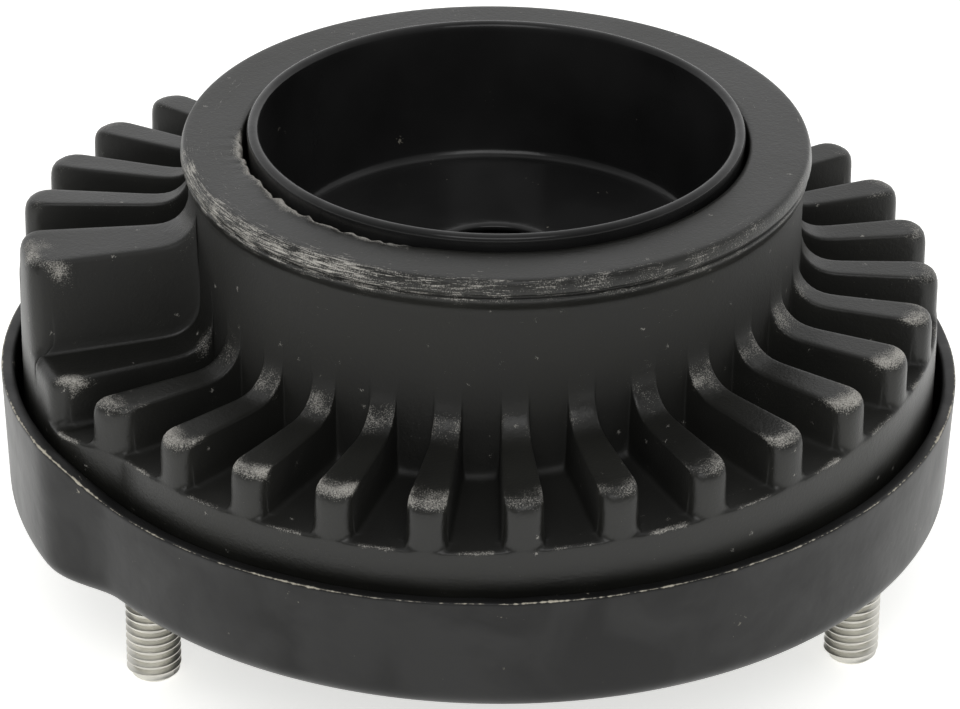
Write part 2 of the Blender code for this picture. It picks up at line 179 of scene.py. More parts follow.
class InnerSizes(bpy.types.PropertyGroup):
    """Sizes of the can, the rubber bush and the rod core inside the mount."""
    can_radius: length("Can radius", "Outer radius of the bush housing", 29.0)
    can_wall: length("Can wall", "Thickness of the bush housing", 2.0)
    can_flange: length("Can flange", "Radius of the bush housing's flange", 34.0)
    can_mouth: length("Can mouth", "Radius of the bush housing's upper opening", 16.0)
    hub: length("Hub radius", "Radius of the rod core's hub", 10.5)
    bore: length("Bore radius", "Radius of the rod core's bore", 6.2)
    core_flange: length("Core flange", "Radius of the rod core's flange", 20.0)
    core_sheet: length("Core flange thickness", "Thickness of the rod core's flange", 3.0)
    recess: length("Recess radius", "Radius of the recess in each end of the bush", 17.0)
    recess_slope: length("Recess slope", "How much the recess narrows to its floor", 2.0)
    recess_depth: length("Recess depth", "Depth of the recess in each end of the bush", 4.5)
    gap: length("Gap", "Space between the bush and the steel", 0.3)
    edge: length("Edge", "Radius of the edges", 0.5)
    steps: steps_round("pieces", 120)


class Finishes(bpy.types.PropertyGroup):
    """Colours of the mount's finishes."""
    rubber: colour("Rubber", "Moulded natural rubber, filled with carbon black", "#1a1a18")
    bloom: colour("Bloom", "Lighter film that rises to the rubber's surface", "#21211e")
    scuff: colour("Scuff", "Dry whitish scuff on rubbed rubber", "#b8b5ae")
    coating: colour("Coating", "Black dip coat on the pressed steel", "#171717")
    worn_edge: colour("Worn edge", "Primer and steel where the coat has chipped", "#b9b3a4")
    cup_coat: colour("Cup coat", "Glossy black coat inside the cup", "#1f1f1f")
    zinc: colour("Zinc", "Zinc plating of the studs", "#e2e0d8")
    phosphate: colour("Phosphate", "Phosphated steel of the rod core", "#4a4a4c")
    floor: colour("Floor", "Pale studio floor", "#f4f4f2")


class StageSizes(bpy.types.PropertyGroup):
    """Camera and light of the studio."""
    elevation: angle("Elevation", "Camera's angle above the floor", 28.58)
    roll: angle("Roll", "Camera's roll about its view axis", 0.6154)
    distance: length("Distance", "Camera's distance from its target", 732.8)
    target_side: length("Target side", "How far left of the axis the camera looks", 2.009)
    target_height: length("Target height", "Height that the camera looks at", 35.27)
    lens: FloatProperty(name="Lens", description="Focal length on a 36 mm sensor",
                        default=185.22, min=1.0, subtype="DISTANCE_CAMERA")
    key: amount("Key light", "Power in watts of the softbox in front", 15.0, "POWER")
    fill: amount("Fill light", "Power in watts of each side panel", 0.2, "POWER")
    room_front: amount("Room front", "Brightness behind the camera", 0.25)
    room_back: amount("Room back", "Brightness behind the mount", 1.02)
    table: amount("Table", "Brightness of the lit table under the mount", 0.7)


def fill_sockets(tree, item, sockets):
    """Fill a node's sockets with values or outputs. A node stands for its first output."""
    for socket, value in sockets.items():
        if isinstance(value, bpy.types.Node):
            value = value.outputs[0]
        if isinstance(value, bpy.types.NodeSocket):
            tree.links.new(value, item.inputs[socket])
        else:
            item.inputs[socket].default_value = value


def add_node(tree, kind, sockets=None, **fields):
    """Add a shader node of a kind such as Math, set its fields and fill its sockets."""
    item = tree.nodes.new("ShaderNode" + kind)
    for field, value in fields.items():
        setattr(item, field, value)
    fill_sockets(tree, item, sockets or {})
    return item


def new_material(name):
    """Return a material, its node tree, its shader and its Object coordinates."""
    material = bpy.data.materials.new(name)
    material.use_nodes = True
    tree = material.node_tree
    shader = tree.nodes["Principled BSDF"]
    coordinates = add_node(tree, "TexCoord").outputs["Object"]
    return material, tree, shader, coordinates


def rgba(value):
    """Return a colour property's value with full opacity."""
    return (*value, 1.0)


def specks_in_cells(tree, place, scale, reach, share_without):
    """Return a mask of lone ragged specks, one in some of a pattern's cells."""
    radius = reach / scale
    ragged = add_node(tree, "TexNoise", {"Vector": place, "Scale": 1.2 / radius})
    spot = add_node(tree, "VectorMath",
                    {0: ragged.outputs["Color"], 1: (5.0 * radius,) * 3, 2: place},
                    operation="MULTIPLY_ADD")
    cells = add_node(tree, "TexVoronoi", {"Vector": spot, "Scale": scale})
    near = add_node(tree, "MapRange",
                    {"Value": cells.outputs["Distance"], "From Min": 0.4 * reach,
                     "From Max": reach, "To Min": 0.55, "To Max": 0.0})
    lone = add_node(tree, "SeparateColor", {0: cells.outputs["Color"]})
    chosen = add_node(tree, "Math", {0: lone, 1: share_without}, operation="GREATER_THAN")
    return add_node(tree, "Math", {0: near, 1: chosen}, operation="MULTIPLY")


def rubber_material(finishes):
    """Natural rubber, compression moulded: dark satin, faintly blotched by its bloom.

    Rubbed edges break up into dry whitish dots, the dragged shoulder into streaks along the turn,
    and dust lies all over it. The same whitish dots paint the sheen on the ribs' outer edges and
    on their sweeps up to the collar. The attribute turned holds a point's radius, its length
    along the turn and its height.
    """
    material, tree, shader, place = new_material("moulded_rubber")
    wear, scuff, matt = (
        add_node(tree, "Attribute", attribute_name=name).outputs["Fac"]
        for name in ("wear", "scuff", "matt"))
    turned = add_node(tree, "Attribute", attribute_name="turned").outputs["Vector"]
    blotch, grain, dots, patches, wrinkles = (
        add_node(tree, "TexNoise",
                 {"Vector": place, "Scale": scale, "Detail": detail, "Roughness": roughness})
        for scale, detail, roughness in (
            (65.0, 3.0, 0.5),  # Blotches of bloom, about 15 mm across
            (2400.0, 3.0, 0.5),  # Grain of 0.4 mm
            (5000.0, 2.0, 0.7),  # Dots of 0.2 mm, as the rubbed skin breaks up
            (260.0, 3.0, 0.5),  # Patches of 4 mm, where the dots are denser
            (900.0, 4.0, 0.6)))  # Wrinkles of 1 mm
    # Streaks 0.2 mm wide and 3 mm long
    drawn_out = add_node(tree, "VectorMath", {0: turned, 1: (1.0, 0.06, 1.0)},
                         operation="MULTIPLY")
    streaks = add_node(tree, "TexNoise",
                       {"Vector": drawn_out, "Scale": 5600.0, "Detail": 3.0, "Roughness": 0.65})
    # Dust specks of 0.3 mm, one in some of the cells of 3 mm
    dust = specks_in_cells(tree, place, 330.0, 0.1, 0.7)
    bloom = add_node(tree, "MapRange", {"Value": blotch, "From Min": 0.35, "From Max": 0.7})
    base = add_node(tree, "Mix",
                    {0: bloom, 6: rgba(finishes.rubber), 7: rgba(finishes.bloom)},
                    data_type="RGBA").outputs[2]
    # Whitish dots where the wear attribute is high: real scuffs, and painted sheen on the rib ends
    # and root sweeps
    broken = add_node(tree, "Math", {0: dots, 1: 1.4, 2: patches}, operation="MULTIPLY_ADD")
    worn = add_node(tree, "Math", {0: wear, 1: 0.8, 2: broken}, operation="MULTIPLY_ADD")
    dots_and_sheen = add_node(tree, "MapRange",
                      {"Value": worn, "From Min": 1.62, "From Max": 2.1, "To Max": 0.95})
    uneven = add_node(tree, "Math", {0: broken, 1: 0.55}, operation="MULTIPLY")
    torn = add_node(tree, "Math", {0: streaks, 1: 1.6, 2: uneven}, operation="MULTIPLY_ADD")
    dragged = add_node(tree, "Math", {0: scuff, 1: 0.55, 2: torn}, operation="MULTIPLY_ADD")
    streaked = add_node(tree, "MapRange",
                        {"Value": dragged, "From Min": 1.88, "From Max": 2.15, "To Max": 0.95})
    rubbed = add_node(tree, "Math", {0: dots_and_sheen, 1: streaked}, operation="MAXIMUM")
    mask = add_node(tree, "Math", {0: rubbed, 1: dust}, operation="MAXIMUM")
    top = add_node(tree, "Mix", {0: mask, 6: base, 7: rgba(finishes.scuff)},
                   data_type="RGBA").outputs[2]
    # Satin, drier on the rubbed places and dull between the ribs
    rough = add_node(tree, "MapRange",
                     {"Value": blotch, "From Min": 0.3, "From Max": 0.7,
                      "To Min": 0.32, "To Max": 0.42})
    for dull, extra in ((mask, 0.35), (matt, 0.22)):
        rough = add_node(tree, "Math", {0: dull, 1: extra, 2: rough}, operation="MULTIPLY_ADD")
    # The wrinkles are deeper where the rubber is rubbed and where the wear layer carries painted
    # sheen
    depth = add_node(tree, "Math", {0: wear, 1: 1.6, 2: 0.8}, operation="MULTIPLY_ADD")
    skin = add_node(tree, "Math", {0: wrinkles, 1: depth, 2: grain}, operation="MULTIPLY_ADD")
    relief = add_node(tree, "Math", {0: rubbed, 1: skin}, operation="ADD")
    bump = add_node(tree, "Bump", {"Height": relief, "Strength": 0.7, "Distance": 0.06 * MM})
    fill_sockets(tree, shader, {"Base Color": top, "Roughness": rough, "Normal": bump,
                                "IOR": 1.44})
    return material


def coated_material(name, base_colour, finishes, gloss):
    """Black dip coat on pressed steel: soft gloss, worn to pale primer along the edges."""
    material, tree, shader, place = new_material(name)
    wear = add_node(tree, "Attribute", attribute_name="wear").outputs["Fac"]
    peel, specks, blotch, stretches, stains = (
        add_node(tree, "TexNoise",
                 {"Vector": place, "Scale": scale, "Detail": detail, "Distortion": distortion})
        for scale, detail, distortion in (
            (330.0, 2.0, 0.0),  # Orange peel of 3 mm
            (1500.0, 2.0, 0.0),  # Specks of 0.7 mm, in which the coat wears off
            (55.0, 3.0, 0.0),  # Blotches of 18 mm, darker and lighter
            (200.0, 2.0, 0.0),  # Stretches of 5 mm where more of the edge is bare
            (85.0, 4.0, 0.6)))  # Stains of 12 mm, which take some of its gloss
    shade = add_node(tree, "MapRange",
                     {"Value": blotch, "From Min": 0.3, "From Max": 0.7,
                      "To Min": 0.7, "To Max": 1.35})
    base = add_node(tree, "VectorMath", {0: tuple(base_colour), "Scale": shade}, operation="SCALE")
    reach = specks
    for pattern, strength in ((wear, 0.6), (stretches, 1.2)):
        reach = add_node(tree, "Math", {0: pattern, 1: strength, 2: reach},
                         operation="MULTIPLY_ADD")
    bare = add_node(tree, "MapRange", {"Value": reach, "From Min": 1.5, "From Max": 1.8})
    # Chips of 1 mm in some of the cells of 9 mm
    chips = specks_in_cells(tree, place, 110.0, 0.06, 0.6)
    mask = add_node(tree, "Math", {0: bare, 1: chips}, operation="MAXIMUM")
    top = add_node(tree, "Mix", {0: mask, 6: base, 7: rgba(finishes.worn_edge)},
                   data_type="RGBA").outputs[2]
    rough = add_node(tree, "MapRange",
                     {"Value": blotch, "From Min": 0.3, "From Max": 0.7,
                      "To Min": gloss, "To Max": gloss + 0.14})
    rough = add_node(tree, "Math", {0: mask, 1: 0.3, 2: rough}, operation="MULTIPLY_ADD")
    gleam = add_node(tree, "MapRange",
                     {"Value": stains, "From Min": 0.35, "From Max": 0.6,
                      "To Min": 0.56, "To Max": 0.4})
    bump = add_node(tree, "Bump", {"Height": peel, "Strength": 0.5, "Distance": 0.12 * MM})
    fill_sockets(tree, shader, {"Base Color": top, "Roughness": rough, "Normal": bump,
                                "Specular IOR Level": gleam, "IOR": 1.38})
    return material


def metal_material(name, base_colour, roughness):
    """Plated or phosphated steel: cloudy crystals that vary its shade and gloss."""
    material, tree, shader, place = new_material(name)
    # Clouds of 4 mm and crystals of 0.3 mm
    cloud, crystals = (
        add_node(tree, "TexNoise", {"Vector": place, "Scale": scale, "Detail": detail})
        for scale, detail in ((250.0, 4.0), (3000.0, 2.0)))
    shade, rough = (
        add_node(tree, "MapRange",
                 {"Value": cloud, "From Min": 0.3, "From Max": 0.7,
                  "To Min": low, "To Max": high})
        for low, high in ((0.75, 1.05), (roughness, roughness + 0.15)))
    base = add_node(tree, "VectorMath", {0: tuple(base_colour), "Scale": shade}, operation="SCALE")
    bump = add_node(tree, "Bump", {"Height": crystals, "Strength": 0.2, "Distance": 0.03 * MM})
    fill_sockets(tree, shader, {"Base Color": base, "Roughness": rough, "Normal": bump,
                                "Metallic": 1.0})
    return material


def arc(centre, radius, start, end, segments):
    """Return points (r, z) along an arc, from the start angle to the end angle in degrees."""
    points = []
    for step in range(segments + 1):
        turn = math.radians(start + (end - start) * step / segments)
        points.append((centre[0] + radius * math.cos(turn), centre[1] + radius * math.sin(turn)))
    return points


def spin_line(shape, points, steps, closed=False, rise=0.0):
    """Spin a line of (radius, height) points once round Z, and merge what meets.

    A layer named row, where the bmesh has one, gets each point's place in the line. The
    line climbs by rise in its turn.
    """
    rows = shape.verts.layers.int.get("row")
    corners = [shape.verts.new((radius, 0.0, height)) for radius, height in points]
    if rows:
        for row, corner in enumerate(corners):
            corner[rows] = row
    pairs = list(zip(corners, corners[1:]))
    if closed:
        pairs.append((corners[-1], corners[0]))
    edges = [shape.edges.new(pair) for pair in pairs]
    bmesh.ops.spin(shape, geom=corners + edges, cent=(0, 0, 0), axis=(0, 0, 1),
                   dvec=(0, 0, rise / steps), angle=math.tau, steps=steps,
                   use_merge=not rise, use_duplicate=False)
    bmesh.ops.remove_doubles(shape, verts=shape.verts[:], dist=0.001 * MM)


def spun(section, steps):
    """Return a closed section spun round Z, and the layer with each corner's row in it."""
    shape = bmesh.new()
    rows = shape.verts.layers.int.new("row")
    spin_line(shape, section, steps, closed=True)
    return shape, rows


def finish_piece(name, shape, material, replaces, levels=1, sharp=None):
    """Put a finished bmesh on the strut's axis as a piece that rides with the mount."""
    bmesh.ops.translate(shape, verts=shape.verts[:], vec=AXIS)
    bmesh.ops.recalc_face_normals(shape, faces=shape.faces[:])
    mesh = bpy.data.meshes.new(name)
    shape.to_mesh(mesh)
    shape.free()
    mesh.materials.append(material)
    mesh.shade_smooth()
    if sharp:
        mesh.set_sharp_from_angle(angle=math.radians(sharp))
    piece = bpy.data.objects.new(name, mesh)
    bpy.context.collection.objects.link(piece)
    if levels:
        smooth = piece.modifiers.new("smooth", "SUBSURF")
        smooth.levels = levels
        smooth.render_levels = levels
    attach(piece, "root")
    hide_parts(replaces)


def smoothstep(value, low, high):
    """Return 0 below low, 1 above high, and a soft step between."""
    share = min(max((value - low) / (high - low), 0.0), 1.0)
    return share * share * (3.0 - 2.0 * share)


# Bands of azimuth, as degrees where each starts, is full, starts to fade and ends:
# the pan's lobe, its raised rim, the collar's torn edge and its two dragged stretches
LOBE = (118.0, 192.0, 206.5, 217.0)
RAISED_RIM = (140.0, 172.0, 206.5, 217.0)
TORN = (172.0, 186.0, 240.0, 262.0)
DRAGGED_LEFT = (176.0, 196.0, 240.0, 285.0)
DRAGGED_FRONT = (230.0, 262.0, 300.0, 345.0)


def band_share(azimuth, band):
    """Return how full a band is at an azimuth in radians, from 0 to 1."""
    turn = math.degrees(azimuth) % 360.0
    start, full, fading, end = band
    return smoothstep(turn, start, full) * smoothstep(-turn, -end, -fading)


# Radii in millimetres at which the pan's flat is divided
FLAT_RADII = (30, 40, 50, 58)
# Shares of the skirt's height at which it is divided
SKIRT_SHARES = (0.15, 0.4, 0.65, 0.85, 0.95)
# The sheared rim, as millimetres in from the skirt's face and down from the rim, first
# outside and then inside
OUTER_SHEAR = ((0.0, 0.35), (0.12, 0.08), (0.4, 0.0))
INNER_SHEAR = ((0.6, 0.02), (0.12, 0.2), (0.0, 0.7))
# How far down the inside the skirt keeps its full width
STRAIGHT = 6.0 * MM
# Slope of the rim across the mount, and how many ripples fit in its radius
RIM_SLOPE = 0.019
RIM_RIPPLES = 14.0


def pan_section(sizes):
    """Return the section of the pan's sheet, outside first, and its rim's rows."""
    low_radius = sizes.rim_radius - sizes.draft
    inner_rim = sizes.rim_radius - sizes.sheet
    rim = PAN_UNDERSIDE + sizes.height
    floor = PAN_UNDERSIDE + sizes.sheet
    foot = PAN_UNDERSIDE + sizes.corner
    bend = (low_radius - sizes.corner, foot)
    points = [(sizes.opening + sizes.edge, PAN_UNDERSIDE)]
    points += [(radius * MM, PAN_UNDERSIDE) for radius in FLAT_RADII]
    points += arc(bend, sizes.corner, -90, 0, 7)
    points += [(low_radius + sizes.draft * share, foot + (rim - foot) * share)
               for share in SKIRT_SHARES]
    first = len(points)
    points += [(sizes.rim_radius - inward * MM, rim - down * MM) for inward, down in OUTER_SHEAR]
    points += [(inner_rim + outward * MM, rim - down * MM) for outward, down in INNER_SHEAR]
    last = len(points)
    points.append((inner_rim - sizes.draft * 0.4, rim - STRAIGHT))
    points += arc(bend, sizes.corner - sizes.sheet, 0, -90, 3)
    points += [(radius * MM, floor) for radius in reversed(FLAT_RADII)]
    points += [(sizes.opening + sizes.edge, floor), (sizes.opening, floor - sizes.edge),
               (sizes.opening, PAN_UNDERSIDE + sizes.edge)]
    return points, range(first, last)


def shape_pan(shape, rows, rim_rows, sizes):
    """Draw the lobe out of the spun pan, raise its rim there and roughen the sheared edge."""
    wear = shape.verts.layers.float.new("wear")
    foot = PAN_UNDERSIDE + sizes.corner
    rim = PAN_UNDERSIDE + sizes.height
    flat_radius = sizes.rim_radius - sizes.draft - sizes.corner
    for corner in shape.verts:
        radius = math.hypot(corner.co.x, corner.co.y)
        azimuth = math.atan2(corner.co.y, corner.co.x)
        spread = min(max((radius - sizes.opening) / (flat_radius - sizes.opening), 0.0), 1.0)
        stretch = 1.0 + spread * sizes.lobe_step * band_share(azimuth, LOBE) / radius
        corner.co.x *= stretch
        corner.co.y *= stretch
        share = max(corner.co.z - foot, 0.0) / (rim - foot)
        rise = sizes.lobe_rise * band_share(azimuth, RAISED_RIM) + RIM_SLOPE * corner.co.x
        corner.co.z += share * rise
        corner[wear] = 1.0 if corner[rows] == rim_rows[1] else 0.0
        if corner[rows] in rim_rows:
            spot = Vector((math.cos(azimuth), math.sin(azimuth), 0.0))
            corner.co.z += sizes.ragged * noise.noise(spot * RIM_RIPPLES)


# One column of the seat: its angle past the ledge in degrees, the height of its top, the
# gap's floor, the level from which its end stands back, how far it stands back, how worn it
# is (which also sets the painted sheen on its end and root), and how many degrees its end turns on
# its way down to that level
Column = namedtuple("Column", "angle height floor shelf inset wear lean", defaults=(0.0,))

# Rise of the rib tops along the spring's wire, as (degrees past the ledge, millimetres)
SEAT_RISE = ((0, 0.0), (62, 0.6), (134, 5.1), (162, 5.5), (204, 7.2), (300, 11.7),
             (324, 12.6), (348, 14.2))
# Places round the disc: the ledge first, 28 ribs, and the stop block last
PLACES = 30
RIB_PITCH = 360.0 / PLACES
LEDGE_AZIMUTH = 201.8
COLUMNS_PER_PLACE = 16
# Length of one degree round the disc's edge
ACROSS = math.radians(1.0) * 65.2 * MM
# How rubbed the outer end of each of the 28 ribs is, as the photo shows it; the same whitish dots
# also paint the highlight along the end's rounded edge
RIB_WEAR_AND_SHEEN = (0.75, 0.95, 0.9, 1.0, 0.9, 0.6, 0.55, 0.65, 0.95, 1.0, 0.95, 0.85, 0.6, 0.5,
            0.6, 0.45, 0.4, 0.5, 0.4, 0.5, 0.4, 0.45, 0.5, 0.4, 0.45, 0.4, 0.35, 0.4)
# How much of that wear a rib's side has, and how much of it each point of its sweep up to the
# collar gets as painted sheen
SIDE_WEAR = 0.15
ROOT_SHEEN = (0.0, 0.3, 0.6, 0.55, 0.1)
# How rubbed the stop block is at its front and at its back, which also sets the painted sheen on
# its root
BLOCK_WEAR = (0.7, 0.4)

# Rounded edges across the ribs, as degrees past the edge and millimetres below the top:
# a rib's, the block's back and front, and the ledge's front
RIB_EDGE = ((-1.0, 0.0), (-0.42, 0.0), (-0.06, 0.13), (0.02, 0.5))
BLOCK_BACK = ((-0.02, 0.6), (0.06, 0.16), (0.5, 0.0), (1.92, 0.0), (4.12, 0.0), (5.92, 0.0))
BLOCK_FRONT = ((-2.0, 0.0), (-1.1, 0.0), (-0.5, 0.04), (-0.1, 0.3), (0.08, 0.9))
LEDGE_FRONT = ((-1.5, 0.0), (-0.9, 0.0), (-0.45, 0.02), (-0.1, 0.2), (0.04, 0.7),
               (0.12, 3.0))
# Their feet, as degrees past the foot and millimetres above the gap's floor
RIB_FOOT = ((0.02, 0.9), (0.26, 0.25), (0.88, 0.0))
LEDGE_FOOT = ((0.24, 0.9), (0.48, 0.25), (1.1, 0.0), (1.6, 0.0))
# How far below the ledge's top the block's end starts to stand back
SHELF_DROP = 0.6 * MM


def seat_level(turn, sizes):
    """Return the height of the rib tops at an angle past the ledge, in degrees."""
    rise = SEAT_RISE[-1][1]
    for (start, low), (end, high) in zip(SEAT_RISE, SEAT_RISE[1:]):
        if turn <= end:
            rise = low + (high - low) * max(turn - start, 0.0) / (end - start)
            break
    return PAN_UNDERSIDE + sizes.low_height + rise * MM


def rounded_inset(distance, radius):
    """Return how far a rounded corner stands back, at a distance in from its side."""
    past = radius - min(max(distance, 0.0), radius)
    return radius - math.sqrt(radius ** 2 - past ** 2)


def rib_columns(middle, end_wear_and_sheen, sizes):
    """Return the sixteen columns of one rib and half the gap on each side of it."""
    top_half = math.degrees(sizes.rib_top)
    foot_half = math.degrees(sizes.rib_foot)
    # The ends are squarer at the front, where the mould parts
    corner = (2.6 + 0.4 * math.sin(math.radians(LEDGE_AZIMUTH + middle))) * MM
    half = [(top_half + past, -down, True) for past, down in RIB_EDGE]
    half += [(foot_half + past, up, False) for past, up in RIB_FOOT]
    side = top_half + RIB_EDGE[-1][0]
    steps = [(-RIB_PITCH / 2, 0.0, False)]
    steps += [(-offset, lift, on_top) for offset, lift, on_top in reversed(half)]
    steps += [(0.0, 0.0, True), *half]
    columns = []
    for offset, lift, on_top in steps:
        level = seat_level(middle + offset, sizes)
        floor = level - sizes.rib_height
        height = (level if on_top else floor) + lift * MM
        inset = rounded_inset((side - abs(offset)) * ACROSS, corner)
        worn = end_wear_and_sheen * (SIDE_WEAR if abs(offset) >= side else 1.0) if on_top else 0.0
        columns.append(Column(middle + offset, height, floor, floor, inset, worn))
    return columns


def block_columns(sizes):
    """Return the columns of the stop block, from the gap behind it to its leaning front."""
    middle = (PLACES - 1) * RIB_PITCH
    top = PAN_UNDERSIDE + sizes.block_height
    low = PAN_UNDERSIDE + sizes.low_height
    low_floor = low - sizes.rib_height
    back_floor = seat_level(middle, sizes) - sizes.rib_height
    back = -math.degrees(sizes.rib_top)
    front = math.degrees(sizes.block_front)
    # The block's last column is 0.2 degrees behind the ledge's first
    slope = math.degrees(sizes.block_foot) - front - 0.2
    columns = [Column(middle - RIB_PITCH / 2, back_floor, back_floor, back_floor, 0.0, 0.0)]
    for past, up in reversed(RIB_FOOT):
        columns.append(Column(middle - math.degrees(sizes.rib_foot) - past,
                              back_floor + up * MM, back_floor, back_floor,
                              sizes.back_corner if up else 0.0, 0.0))
    steps = [(back + past, down) for past, down in BLOCK_BACK]
    steps += [(front + past, down) for past, down in BLOCK_FRONT]
    rear, face = steps[0][0], steps[-1][0]
    for offset, down in steps:
        inset = max(rounded_inset((offset - rear) * ACROSS, sizes.back_corner),
                    rounded_inset((face - offset) * ACROSS, sizes.block_corner))
        lean = smoothstep(offset, 2.0, front - 2.0) * slope
        if offset > 0.0:
            floor, shelf, worn = low_floor, low - SHELF_DROP, BLOCK_WEAR[0]
        else:
            floor, shelf, worn = back_floor, back_floor, BLOCK_WEAR[1]
        columns.append(Column(middle + offset, top - down * MM, floor, shelf, inset, worn, lean))
    columns.append(Column(middle + front + slope / 2, (top + low) / 2, low_floor,
                          low - SHELF_DROP, sizes.block_corner, 0.0, slope / 2))
    return columns


def ledge_columns(sizes):
    """Return the columns of the ledge, from the block's foot to the gap in front."""
    low = PAN_UNDERSIDE + sizes.low_height
    floor = low - sizes.rib_height
    shelf = low - SHELF_DROP
    foot = math.degrees(sizes.block_foot) - RIB_PITCH
    front = math.degrees(sizes.ledge_front)
    # Beyond the block's corner the ledge comes out to the disc's edge
    columns = [Column(foot - 0.08, low + 0.6 * MM, floor, shelf, sizes.block_corner, 0.0),
               Column(foot + 0.1, low, floor, shelf, 0.0, 0.0)]
    steps = [(foot + 0.8, 0.0), (-1.2, 0.0), (0.2, 0.0), (1.5, 0.0)]
    steps += [(front + past, down) for past, down in LEDGE_FRONT]
    face = steps[-2][0]
    for offset, down in steps:
        inset = rounded_inset((face - offset) * ACROSS, sizes.ledge_corner)
        worn = smoothstep(offset, 1.0, front - 0.5) if down < 1.0 else 0.0
        columns.append(Column(offset, low - down * MM, floor, floor, inset, worn))
    for past, up in LEDGE_FOOT:
        columns.append(Column(front + past, floor + up * MM, floor, floor,
                              sizes.ledge_corner if up else 0.0, 0.0))
    return columns


# Levels of the disc's side: its lower edge, that edge's width, and where it is divided
DISC_LOW = REST_LEVEL + 3.2 * MM
DISC_EDGE = 0.8 * MM
DISC_LEVELS = (32.5 * MM, 35.2 * MM)
# The disc's worn edge and the floor in a gap, as millimetres in from the disc's side and
# below the floor, and wear
GAP_EDGE = ((0.0, 3.0, 0.0), (0.0, 0.6, 0.0), (0.06, 0.1, 0.7), (0.45, 0.0, 0.45),
            (1.3, 0.0, 0.0), (1.9, 0.0, 0.0), (2.4, 0.0, 0.0), (3.0, 0.0, 0.0),
            (3.6, 0.0, 0.0), (4.5, 0.0, 0.0))
# How far the middle of a quarter round stands in from its square corner, in radii
ROUND = 0.29

# Ridge and lip under the collar's top, as millimetres out from the wall or from the lip's
# radius and down from the top, and wear
RIDGE = ((0.0, 5.3, 0.0), (0.15, 4.7, 0.0), (0.65, 3.9, 0.0), (0.8, 3.2, 0.4),
         (0.72, 2.95, 0.4), (0.35, 2.8, 0.0), (0.38, 2.5, 0.0))
LIP = ((-0.15, 2.4, 0.0), (0.0, 2.1, 0.4), (-0.15, 1.1, 0.4), (-0.4, 0.3, 0.4),
       (-0.75, 0.03, 0.0))
# How far below its top the collar's plain wall ends
PLAIN_WALL = 5.2 * MM
# A column whose end stands back further than this is a rib's side or a gap
SIDE_INSET = 2.0 * MM
# Slack for telling whether a point lies on a surface
TOUCH = 0.05 * MM
# The dragged part of the collar's top: least radius and depth, then the radii over which it
# grows on the face and on the lip, and the depths in millimetres over which it fades
SCUFF_RADIUS, SCUFF_DEPTH = 37.5 * MM, 4.5
FACE_GROWS, LIP_GROWS = (41.0 * MM, 44.5 * MM), (44.0 * MM, 45.0 * MM)
LIP_FADES = (2.6, 4.0)
# How dragged it is all over, on the face at the left, and on the lip at the left and in front
SCUFF_ALL, SCUFF_FACE, SCUFF_LEFT, SCUFF_FRONT = 0.1, 0.25, 0.52, 0.4


def collar_section(sizes):
    """Return the collar from its ridge, over its lip and top, to its bore and the underside.

    A point is its radius, height and wear, then how worn it is where the collar is torn, and
    how far the tear moves it outwards and down.
    """
    top = COLLAR_TOP
    bore = sizes.collar_bore
    points = []
    for start, shelf in ((sizes.collar_radius, RIDGE), (sizes.lip_radius, LIP)):
        points += [(start + out * MM, top - down * MM, worn, 0.0, 0.0, 0.0)
                   for out, down, worn in shelf]
    points += [(sizes.lip_radius - 1.5 * MM, top, 0.0, 0.0, 0.0, 0.0),
               (43.0 * MM, top, 0.0, 0.0, 0.0, 0.0), (38.2 * MM, top, 0.0, 0.2, 0.0, 0.0),
               (bore + 0.15 * MM, top, 0.0, 1.3, 1.0, 0.35),
               (bore, top - 0.15 * MM, 0.0, 1.0, 1.0, 1.0), (bore, 56.0 * MM, 0.0, 0.0, 0.6, 0.6)]
    points += [(radius, height, 0.0, 0.0, 0.0, 0.0) for radius, height in (
        (34.4 * MM, 50.4 * MM), (34.4 * MM, REST_LEVEL), (52.4 * MM, REST_LEVEL),
        (52.8 * MM, DISC_LOW))]
    return points


